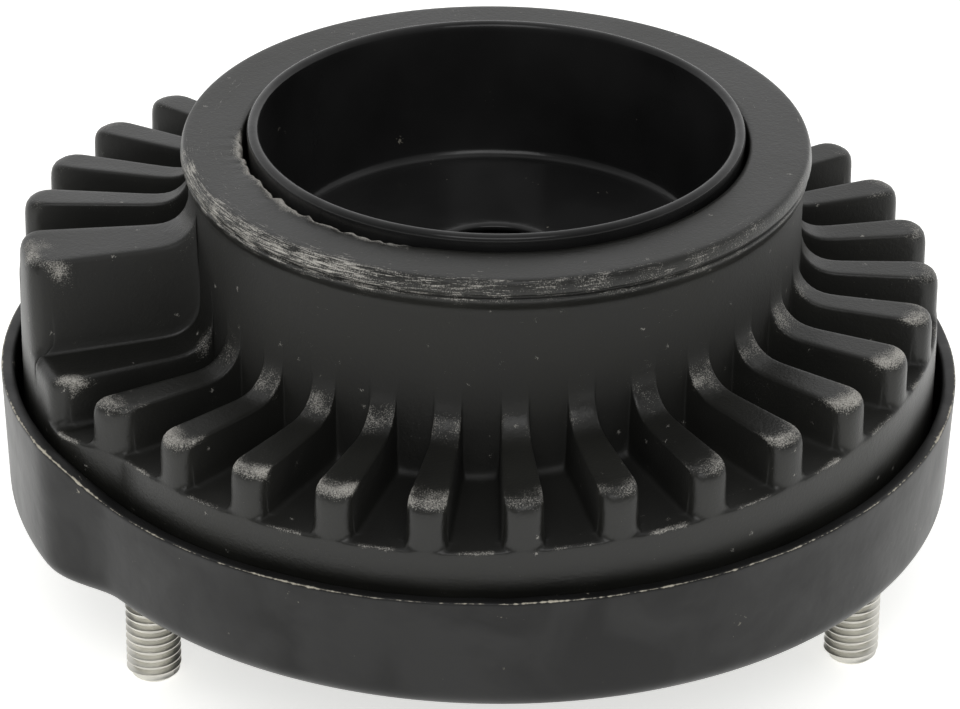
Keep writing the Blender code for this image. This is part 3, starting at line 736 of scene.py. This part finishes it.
def seat_rows(column, even, sizes, disc_radius, lobe_step):
    """Return one column of the seat as (azimuth, r, z, wear with painted sheen), from its foot to
    its bore.
    """
    own = math.radians(LEDGE_AZIMUTH + column.angle)
    even = math.radians(LEDGE_AZIMUTH + even)
    edge = disc_radius + lobe_step * band_share(own, LOBE)
    even_edge = disc_radius + lobe_step * band_share(even, LOBE)
    _, height, floor, shelf, inset, worn, lean = column
    rise = max(height - shelf, 0.0)
    end = edge - inset
    rows = [(even, even_edge - DISC_EDGE, DISC_LOW, 0.0)]
    rows += [(even, even_edge, level, 0.0) for level in (DISC_LOW + DISC_EDGE, *DISC_LEVELS)]
    points = [(edge - inward * MM, floor - down * MM, wear) for inward, down, wear in GAP_EDGE]
    if rise > 0.0:
        # The end stands back from the disc's side, climbs, and turns over its rounded lip, whose
        # wear paints scuffs and a highlight along its crest
        lip = min(sizes.rib_lip, 0.6 * rise)
        points[2:] = [(edge - min(0.06 * MM, inset / 2), shelf - 0.1 * MM, 0.0),
                      (edge - min(0.45 * MM, 0.7 * inset), shelf + min(0.05 * MM, rise), 0.0),
                      (end, shelf + min(0.9 * MM, 0.35 * rise), 0.0),
                      (end, shelf + 0.5 * rise, 0.0), (end, height - lip, 0.1 * worn),
                      (end - ROUND * lip, height - ROUND * lip, 0.85 * worn),
                      (end - lip, height, worn), (end - lip - 1.2 * MM, height, 0.65 * worn)]
    share = min((height - floor) / sizes.rib_height, 1.0)
    root = sizes.gap_root + (sizes.rib_root - sizes.gap_root) * share
    start = points[-1][0]
    foot = sizes.collar_radius + root
    points += [(start + (foot - start) * step, height, 0.0) for step in (0.25, 0.5, 0.75)]
    # Whitish dots up the sweep to the collar paint its sheen, and its wrinkles are deeper
    sweep = arc((foot, height + root), root, 270, 180, len(ROOT_SHEEN) - 1)
    points += [(radius, level, share * worn)
               for (radius, level), share in zip(sweep, ROOT_SHEEN)]
    for radius, level, wear in points:
        down = min(max((height - level) / max(rise, MM), 0.0), 1.0)
        rows.append((own + math.radians(lean) * down, radius, level, wear))
    # On the way up the collar's wall the columns spread out evenly
    collar = collar_section(sizes)
    ridge = collar[0][1]
    azimuth, _, foot_level, _ = rows[-1]
    rows += [(azimuth + (even - azimuth) * step, sizes.collar_radius,
              foot_level + (ridge - foot_level) * step, 0.0) for step in (0.35, 0.7)]
    # The moulding tore along the cup on one side, which left a ragged edge and a gap
    torn = band_share(even, TORN)
    spot = Vector((math.cos(even), math.sin(even), 0.0))
    ragged = 0.45 + 0.8 * noise.noise(spot * 25.0) + 0.35 * noise.noise(spot * 70.0)
    tear = torn * max(ragged, 0.0) * MM
    rows += [(even, radius + out * tear, level - down * tear, wear + torn_wear * torn)
             for radius, level, wear, torn_wear, out, down in collar]
    return rows


def scuff_at(azimuth, radius, height):
    """Return how dragged the collar's top is at a place, from 0 to 1."""
    below = (COLLAR_TOP - height) / MM
    if radius < SCUFF_RADIUS or below > SCUFF_DEPTH:
        return 0.0
    left = band_share(azimuth, DRAGGED_LEFT)
    front = band_share(azimuth, DRAGGED_FRONT)
    face = smoothstep(radius, *FACE_GROWS)
    lip = smoothstep(radius, *LIP_GROWS) * (1.0 - smoothstep(below, *LIP_FADES))
    return SCUFF_ALL + SCUFF_FACE * left * face + max(SCUFF_LEFT * left, SCUFF_FRONT * front) * lip


def matt_at(column, radius, height, sizes):
    """Return 1 on the collar's wall, the ribs' sides and the gaps, which are dull, else 0."""
    on_side = column.inset > SIDE_INSET and height > column.floor - TOUCH
    on_wall = abs(radius - sizes.collar_radius) < TOUCH
    return 1.0 if (on_wall or on_side) and height < COLLAR_TOP - PLAIN_WALL else 0.0


def make_seat(settings):
    """Mould the spring seat: a spun ring whose columns are moved into ribs, ledge and block."""
    sizes = settings.seat
    disc_radius = settings.pan.rim_radius - settings.pan.sheet - sizes.gap
    columns = ledge_columns(sizes)
    for rib, end_wear_and_sheen in enumerate(RIB_WEAR_AND_SHEEN, 1):
        columns += rib_columns(rib * RIB_PITCH, end_wear_and_sheen, sizes)
    columns += block_columns(sizes)
    count = len(columns)
    grid = []
    for index, column in enumerate(columns):
        even = 360.0 * index / count - RIB_PITCH / 2
        grid.append(seat_rows(column, even, sizes, disc_radius, settings.pan.lobe_step))
    # The ring starts from the section through the first rib's middle
    middle = grid[COLUMNS_PER_PLACE + COLUMNS_PER_PLACE // 2]
    shape, rows = spun([(radius, height) for _, radius, height, _ in middle], count)
    # The wear layer carries scuffs and also the painted sheen on the ribs' ends and root sweeps
    wear, scuff, matt = (shape.verts.layers.float.new(name) for name in ("wear", "scuff", "matt"))
    turned = shape.verts.layers.float_vector.new("turned")
    for corner in shape.verts:
        index = round(math.atan2(corner.co.y, corner.co.x) / math.tau * count) % count
        azimuth, radius, height, worn = grid[index][corner[rows]]
        corner.co = (radius * math.cos(azimuth), radius * math.sin(azimuth), height)
        corner[wear] = worn
        corner[scuff] = scuff_at(azimuth, radius, height)
        corner[matt] = matt_at(columns[index], radius, height, sizes)
        # The length along the turn starts and ends at the back
        along = (azimuth - math.pi / 2) % math.tau
        corner[turned] = (radius, along * sizes.collar_radius, height)
    finish_piece("ribbed_spring_seat", shape, rubber_material(settings.finishes),
                 "spring_seat")


def make_pan(settings):
    """Press the pan, draw out its lobe and shear its rim."""
    section, rim_rows = pan_section(settings.pan)
    shape, rows = spun(section, settings.pan.steps)
    shape_pan(shape, rows, rim_rows, settings.pan)
    material = coated_material("black_dip_coat", settings.finishes.coating,
                               settings.finishes, gloss=0.32)
    finish_piece("pressed_pan", shape, material, "housing_pan")


# Radii in millimetres at which the cup's floor is divided, shares of its wall's height, and
# the level above the floor at which its outside is divided
CUP_FLOOR_RADII = (14, 20, 26)
CUP_WALL_SHARES = (0.4, 0.6, 0.8)
CUP_OUTSIDE = 6.0 * MM


def make_cup(settings):
    """Draw the bump stop cup with its rolled rim and the rod's hole."""
    sizes = settings.cup
    rim = COLLAR_TOP + sizes.stand
    floor = rim - sizes.depth
    low_radius = sizes.bore_radius - sizes.taper
    bend = (low_radius - sizes.corner, floor + sizes.corner)
    lip = (sizes.bore_radius + sizes.wall / 2, rim - sizes.wall / 2)
    section = [(sizes.hole_radius, floor - sizes.edge), (sizes.hole_radius + sizes.edge, floor)]
    section += [(radius * MM, floor) for radius in CUP_FLOOR_RADII]
    section += arc(bend, sizes.corner, -90, 0, 6)
    section += [(low_radius + share * sizes.taper, floor + share * (lip[1] - floor))
                for share in CUP_WALL_SHARES]
    section += arc(lip, sizes.wall / 2, 180, 0, 6)
    section.append((sizes.bore_radius + sizes.wall - 0.6 * sizes.taper, floor + CUP_OUTSIDE))
    section += arc(bend, sizes.corner + sizes.wall, 0, -90, 6)
    section.append((sizes.hole_radius, floor - sizes.wall))
    shape, _ = spun(section, sizes.steps)
    shape.verts.layers.float.new("wear")
    material = coated_material("glossy_cup_coat", settings.finishes.cup_coat,
                               settings.finishes, gloss=0.12)
    finish_piece("drawn_cup", shape, material, "bump_stop_cup")


def close_ends(shape):
    """Fill a bmesh's open rims."""
    rims = [edge for edge in shape.edges if edge.is_boundary]
    bmesh.ops.holes_fill(shape, edges=rims, sides=0)


def make_stud(index, settings):
    """Roll one stud's thread and form its neck and head inside the pan."""
    sizes = settings.studs
    low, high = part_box(f"stud_{index}")
    middle = Vector(((low.x + high.x) / 2, (low.y + high.y) / 2, 0.0)) - AXIS
    root = sizes.radius - sizes.depth
    crest = sizes.pitch / 8
    seam = PAN_UNDERSIDE - sizes.seam
    shape = bmesh.new()
    points = []
    # The thread runs past both ends and is cut off there
    for turn in range(-2, int(PAN_UNDERSIDE / sizes.pitch) + 3):
        base = turn * sizes.pitch
        points += [(root, base), (root, base + crest), (sizes.radius, base + sizes.pitch / 2),
                   (sizes.radius, base + sizes.pitch / 2 + crest)]
    spin_line(shape, points, sizes.steps, rise=sizes.pitch)
    for height, normal in ((0.0, -1.0), (seam, 1.0)):
        everything = shape.verts[:] + shape.edges[:] + shape.faces[:]
        bmesh.ops.bisect_plane(shape, geom=everything, dist=0.001 * MM, plane_co=(0, 0, height),
                               plane_no=(0, 0, normal), clear_outer=True)
    for corner in shape.verts:
        radius = math.hypot(corner.co.x, corner.co.y)
        limit = sizes.radius - sizes.chamfer + corner.co.z
        if radius > limit:
            corner.co.x *= limit / radius
            corner.co.y *= limit / radius
    close_ends(shape)
    head_top = REST_LEVEL + sizes.head_height
    spin_line(shape, [(sizes.neck, seam), (sizes.neck, REST_LEVEL), (sizes.head, REST_LEVEL),
                      (sizes.head, head_top - sizes.head_edge),
                      (sizes.head - sizes.head_edge, head_top)], sizes.steps)
    close_ends(shape)
    bmesh.ops.translate(shape, verts=shape.verts[:], vec=middle)
    material = metal_material(f"zinc_plate_{index}", settings.finishes.zinc, roughness=0.3)
    finish_piece(f"threaded_stud_{index}", shape, material, f"stud_{index}",
                 levels=0, sharp=35)


def softened(section, radius):
    """Return a closed section with each corner rounded, and its straights kept flat."""
    points = []
    for index, corner in enumerate(section):
        here = Vector(corner)
        before = Vector(section[index - 1]) - here
        after = Vector(section[(index + 1) % len(section)]) - here
        back = before.normalized() * min(radius, before.length / 5)
        ahead = after.normalized() * min(radius, after.length / 5)
        # The middle of a quarter round lies about 0.28 of its radius in from the corner
        points += [here + back * 2.0, here + back, here + (back + ahead) * 0.28,
                   here + ahead, here + ahead * 2.0]
    return [tuple(point) for point in points]


def make_inner_parts(settings):
    """Draw the can, mould the bush and turn the rod core."""
    sizes = settings.inner
    finishes = settings.finishes
    can_low, can_high = CAN_BOX[0].z, CAN_BOX[1].z
    core_low, core_high = CORE_BOX[0].z, CORE_BOX[1].z
    inner = sizes.can_radius - sizes.can_wall
    can = [(sizes.can_flange, can_low), (sizes.can_flange, can_low + sizes.can_wall),
           (sizes.can_radius, can_low + sizes.can_wall), (sizes.can_radius, can_high),
           (sizes.can_mouth, can_high), (sizes.can_mouth, can_high - sizes.can_wall),
           (inner, can_high - sizes.can_wall), (inner, can_low)]
    bush_high = can_high - sizes.can_wall - sizes.gap
    middle = (can_low + bush_high) / 2
    half = sizes.core_sheet / 2
    core = [(sizes.bore, core_low), (sizes.hub, core_low), (sizes.hub, middle - half),
            (sizes.core_flange, middle - half), (sizes.core_flange, middle + half),
            (sizes.hub, middle + half), (sizes.hub, core_high), (sizes.bore, core_high)]
    outer = inner - sizes.gap
    hub = sizes.hub + sizes.gap
    flange = sizes.core_flange + sizes.gap
    gap = half + sizes.gap
    low_floor = can_low + sizes.recess_depth
    high_floor = bush_high - sizes.recess_depth
    narrow = sizes.recess - sizes.recess_slope
    bush = [(outer, can_low), (outer, bush_high), (sizes.recess, bush_high),
            (narrow, high_floor), (hub, high_floor), (hub, middle + gap),
            (flange, middle + gap), (flange, middle - gap), (hub, middle - gap),
            (hub, low_floor), (narrow, low_floor), (sizes.recess, can_low)]
    coat = coated_material("can_dip_coat", finishes.coating, finishes, gloss=0.35)
    steel = metal_material("phosphated_core", finishes.phosphate, roughness=0.45)
    for name, section, material, slot, node in (
            ("drawn_can", can, coat, "coated_steel", "bush_housing"),
            ("moulded_bush", bush, rubber_material(finishes), "moulded_rubber", "inner_bush"),
            ("turned_rod_core", core, steel, "phosphated_steel", "rod_core")):
        shape, _ = spun(softened(section, sizes.edge), sizes.steps)
        for layer in ("wear", "scuff", "matt"):
            shape.verts.layers.float.new(layer)
        finish_piece(name, shape, material, node)


def make_floor(settings):
    """Lay the pale floor."""
    shape = bmesh.new()
    bmesh.ops.create_grid(shape, x_segments=1, y_segments=1, size=4.0)
    mesh = bpy.data.meshes.new("studio_floor")
    shape.to_mesh(mesh)
    shape.free()
    floor = bpy.data.objects.new("studio_floor", mesh)
    bpy.context.collection.objects.link(floor)
    # Painted board, matt and very slightly mottled
    material, tree, shader, place = new_material("painted_floor")
    mottle = add_node(tree, "TexNoise", {"Vector": place, "Scale": 4.0})
    shade = add_node(tree, "MapRange",
                     {"Value": mottle, "From Min": 0.3, "From Max": 0.7, "To Min": 0.98})
    pale = settings.finishes.floor
    base = add_node(tree, "VectorMath", {0: tuple(pale), "Scale": shade}, operation="SCALE")
    # The board is translucent and lit from below, so that shadows stay faint
    fill_sockets(tree, shader, {"Base Color": base, "Roughness": 0.9,
                                "Emission Color": rgba(pale),
                                "Emission Strength": settings.stage.table})
    mesh.materials.append(material)


def place_camera(stage):
    """Place the camera at the photograph's angle."""
    target = Vector((AXIS.x - stage.target_side, 0.0, stage.target_height))
    view = Vector((0.0, math.cos(stage.elevation), -math.sin(stage.elevation)))
    data = bpy.data.cameras.new("photo_camera")
    data.lens = stage.lens
    data.sensor_width = 36.0
    data.clip_start = 0.01
    camera = bpy.data.objects.new("photo_camera", data)
    bpy.context.collection.objects.link(camera)
    turn = view.to_track_quat("-Z", "Y").to_matrix() @ Matrix.Rotation(stage.roll, 3, "Z")
    camera.matrix_world = Matrix.Translation(target - view * stage.distance) @ turn.to_4x4()
    bpy.context.scene.camera = camera


def hang_lights(stage):
    """Hang a softbox in front and a panel at each side, and make the room glow."""
    middle = Vector((0.0, 0.0, 0.05))
    for name, place, size, power in (
            ("front_softbox", (0.0, -1.6, 1.6), (1.6, 1.2), stage.key),
            ("left_panel", (-1.4, 0.3, 0.6), (1.0, 1.0), stage.fill),
            ("right_panel", (1.4, 0.3, 0.6), (1.0, 1.0), stage.fill)):
        lamp = bpy.data.lights.new(name, "AREA")
        lamp.shape = "RECTANGLE"
        lamp.size, lamp.size_y = size
        lamp.energy = power
        item = bpy.data.objects.new(name, lamp)
        item.location = place
        item.rotation_euler = (middle - Vector(place)).to_track_quat("-Z", "Y").to_euler()
        bpy.context.collection.objects.link(item)
    # The room is bright behind the mount and darker behind the camera
    world = bpy.data.worlds.new("studio")
    world.use_nodes = True
    room = world.node_tree
    direction = add_node(room, "TexCoord").outputs["Generated"]
    back = add_node(room, "SeparateXYZ", {0: direction}).outputs["Y"]
    glow = add_node(room, "MapRange",
                    {"Value": back, "From Min": -0.6, "From Max": 0.6,
                     "To Min": stage.room_front, "To Max": stage.room_back})
    fill_sockets(room, room.nodes["Background"],
                 {"Color": (1.0, 1.0, 1.0, 1.0), "Strength": glow})
    bpy.context.scene.world = world
    bpy.context.scene.view_settings.view_transform = "Standard"


class MountSettings(bpy.types.PropertyGroup):
    """All sizes and colours of the mount."""
    pan: PointerProperty(type=PanSizes, name="Pan", description="Sizes of the pan")
    seat: PointerProperty(type=SeatSizes, name="Seat", description="Sizes of the spring seat")
    cup: PointerProperty(type=CupSizes, name="Cup", description="Sizes of the cup")
    studs: PointerProperty(type=StudSizes, name="Studs", description="Sizes of the studs")
    inner: PointerProperty(type=InnerSizes, name="Inner parts",
                           description="Sizes of the can, the bush and the rod core")
    finishes: PointerProperty(type=Finishes, name="Finishes", description="Colours")
    stage: PointerProperty(type=StageSizes, name="Stage", description="Camera and light")


class STRUTMOUNT_OT_pan(bpy.types.Operator):
    """Make the pressed housing pan"""
    bl_idname = "strut_mount.pan"
    bl_label = "Housing pan"

    def execute(self, context):
        make_pan(context.scene.strut_mount)
        return {"FINISHED"}


class STRUTMOUNT_OT_seat(bpy.types.Operator):
    """Make the ribbed rubber spring seat"""
    bl_idname = "strut_mount.seat"
    bl_label = "Spring seat"

    def execute(self, context):
        make_seat(context.scene.strut_mount)
        return {"FINISHED"}


class STRUTMOUNT_OT_cup(bpy.types.Operator):
    """Make the drawn bump stop cup"""
    bl_idname = "strut_mount.cup"
    bl_label = "Bump stop cup"

    def execute(self, context):
        make_cup(context.scene.strut_mount)
        return {"FINISHED"}


class STRUTMOUNT_OT_studs(bpy.types.Operator):
    """Make the three threaded studs"""
    bl_idname = "strut_mount.studs"
    bl_label = "Studs"

    def execute(self, context):
        for index in (1, 2, 3):
            make_stud(index, context.scene.strut_mount)
        return {"FINISHED"}


class STRUTMOUNT_OT_inner_parts(bpy.types.Operator):
    """Finish the bush housing, the bush and the rod core"""
    bl_idname = "strut_mount.inner_parts"
    bl_label = "Inner parts"

    def execute(self, context):
        make_inner_parts(context.scene.strut_mount)
        return {"FINISHED"}


class STRUTMOUNT_OT_stage(bpy.types.Operator):
    """Make the floor, the lights and the camera"""
    bl_idname = "strut_mount.stage"
    bl_label = "Stage"

    def execute(self, context):
        settings = context.scene.strut_mount
        make_floor(settings)
        place_camera(settings.stage)
        hang_lights(settings.stage)
        return {"FINISHED"}


OPERATORS = (STRUTMOUNT_OT_pan, STRUTMOUNT_OT_seat, STRUTMOUNT_OT_cup, STRUTMOUNT_OT_studs,
             STRUTMOUNT_OT_inner_parts, STRUTMOUNT_OT_stage)


class STRUTMOUNT_PT_panel(bpy.types.Panel):
    """Lists the pieces of the strut mount"""
    bl_idname = "STRUTMOUNT_PT_panel"
    bl_label = "Strut mount"
    bl_space_type = "VIEW_3D"
    bl_region_type = "UI"
    bl_category = "Strut mount"

    def draw(self, context):
        for operator in OPERATORS:
            self.layout.operator(operator.bl_idname, text=operator.bl_label)


CLASSES = (PanSizes, SeatSizes, CupSizes, StudSizes, InnerSizes, Finishes, StageSizes,
           MountSettings, *OPERATORS, STRUTMOUNT_PT_panel)


def register():
    for item in CLASSES:
        bpy.utils.register_class(item)
    bpy.types.Scene.strut_mount = PointerProperty(type=MountSettings, name="Strut mount",
                                                  description="Sizes and colours of the mount")


def unregister():
    del bpy.types.Scene.strut_mount
    for item in reversed(CLASSES):
        bpy.utils.unregister_class(item)


def main():
    register()
    bpy.ops.strut_mount.pan()
    bpy.ops.strut_mount.seat()
    bpy.ops.strut_mount.cup()
    bpy.ops.strut_mount.studs()
    bpy.ops.strut_mount.inner_parts()
    bpy.ops.strut_mount.stage()


if __name__ == "__main__":
    main()
